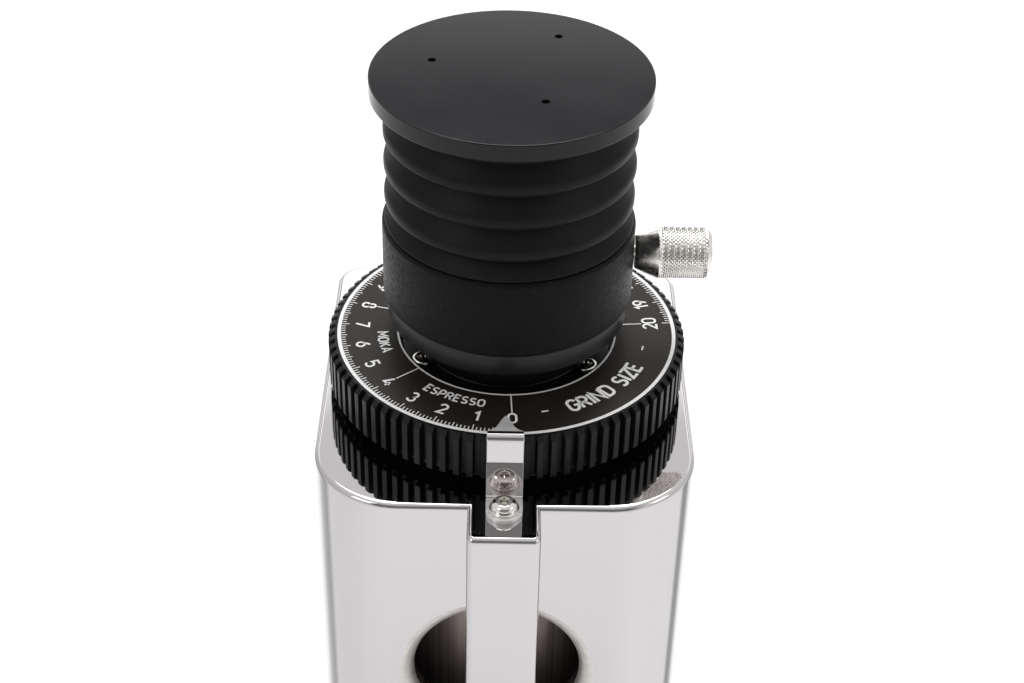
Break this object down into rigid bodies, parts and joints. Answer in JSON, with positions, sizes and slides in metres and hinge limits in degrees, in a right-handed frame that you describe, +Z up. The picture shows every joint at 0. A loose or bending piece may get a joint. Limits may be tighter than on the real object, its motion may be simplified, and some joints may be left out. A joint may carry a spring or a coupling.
{
  "type": "burr coffee grinder",
  "caption": "Single-dose burr coffee grinder: polished housing with a chute rib, toothed setting ring with a scale, hopper with bellows and lid, fork and dosing cup.",
  "frame": {"origin": "middle of the footprint's bounding box, on the floor under the feet", "axes": "+Z up, -Y towards the front with the chute and cup, +X towards the gate knob"},
  "size_m": [0.1326, 0.2156, 0.3727],
  "materials": {
    "polished_steel": "mirror-polished stainless steel",
    "dark_brushed_steel": "dark, brushed lengthwise",
    "knurled_steel": "bright turned or knurled",
    "black_anodised": "satin black anodised",
    "gloss_black": "gloss black",
    "silicone": "satin black silicone",
    "textured_black": "finely textured black",
    "rubber": "matte black",
    "ring_black": "satin black",
    "scale_print": "brown-black with white print",
    "cast_aluminium": "machined casting",
    "burr_steel": "ground hardened steel",
    "motor_steel": "plain machined",
    "windings": "varnished copper wire",
    "black_plastic": "satin black"
  },
  "bodies": {
    "grinder": {"base_plate": "polished_steel", "bellows": "silicone", "chute_duct": "black_plastic", "collar_screw_1": "knurled_steel", "collar_screw_2": "knurled_steel", "collar_screw_3": "knurled_steel", "cover_screw_bottom_left": "knurled_steel", "cover_screw_bottom_right": "knurled_steel", "cover_screw_top_left": "knurled_steel", "cover_screw_top_right": "knurled_steel", "cup_mat": "rubber", "foot_front_left": "rubber", "foot_front_right": "rubber", "foot_rear_left": "rubber", "foot_rear_right": "rubber", "fork_screw_left": "knurled_steel", "fork_screw_right": "knurled_steel", "grind_chamber": "cast_aluminium", "hopper_body": "textured_black", "hopper_collar": "gloss_black", "housing": "polished_steel", "lower_bearing": "burr_steel", "motor_can": "dark_brushed_steel", "motor_capacitor": "black_plastic", "motor_end_cap": "motor_steel", "motor_stand": "cast_aluminium", "pointer_bracket": "polished_steel", "pointer_screw": "knurled_steel", "portafilter_fork": "polished_steel", "power_inlet": "black_plastic", "rear_cover": "black_anodised", "spout": "gloss_black", "stator": "windings", "switch_frame": "black_plastic", "upper_bearing": "burr_steel"},
    "setting_ring": {"adjustment_ring": "ring_black", "scale_disc": "scale_print"},
    "burr_holder": {"upper_burr_holder": "cast_aluminium", "upper_burr": "burr_steel"},
    "grinding_rotor": {"rotor": "motor_steel", "burr_carrier": "cast_aluminium", "lower_burr": "burr_steel", "carrier_screw": "knurled_steel"},
    "bellows_top": {"bellows_top_ring": "black_anodised"},
    "lid": {"lid": "black_anodised"},
    "gate": {"gate_flap": "knurled_steel", "gate_knob": "knurled_steel"},
    "rocker": {"switch_rocker": "black_plastic"},
    "cup": {"dosing_cup": "polished_steel"}
  },
  "joints": [
    {"name": "ring_turn", "type": "hinge", "parent": "grinder", "child": "setting_ring", "pos_m": [-0.002, 0.0322, 0.265], "axis": [0, 0, 1], "range_deg": [-2.5, 264.9]},
    {"name": "burr_height", "type": "slide", "parent": "grinder", "child": "burr_holder", "axis": [0, 0, 1], "range_m": [-0.0001, 0.0012]},
    {"name": "burr_spin", "type": "hinge", "parent": "grinder", "child": "grinding_rotor", "pos_m": [-0.002, 0.0322, 0.2], "axis": [0, 0, 1], "continuous": true},
    {"name": "lid_press", "type": "slide", "parent": "grinder", "child": "bellows_top", "axis": [0, 0, 1], "range_m": [-0.026, 0], "stiffness_N_per_m": 300, "springref_m": 0.008, "deforming": ["bellows"]},
    {"name": "lid_lift", "type": "slide", "parent": "bellows_top", "child": "lid", "axis": [0, 0, 1], "range_m": [0, 0.03]},
    {"name": "gate_turn", "type": "hinge", "parent": "grinder", "child": "gate", "pos_m": [-0.002, 0.0322, 0.3063], "axis": [1, 0, 0], "range_deg": [0, 90]},
    {"name": "switch_rock", "type": "hinge", "parent": "grinder", "child": "rocker", "pos_m": [0.0623, 0.0522, 0.075], "axis": [0, 1, 0], "range_deg": [0, 16]},
    {"name": "cup_pull", "type": "slide", "parent": "grinder", "child": "cup", "axis": [0, -1, 0], "range_m": [0, 0.09]}
  ],
  "couplings": [
    {"joint": "burr_height", "follows": "ring_turn", "m_per_rad": 0.00023873}
  ]
}
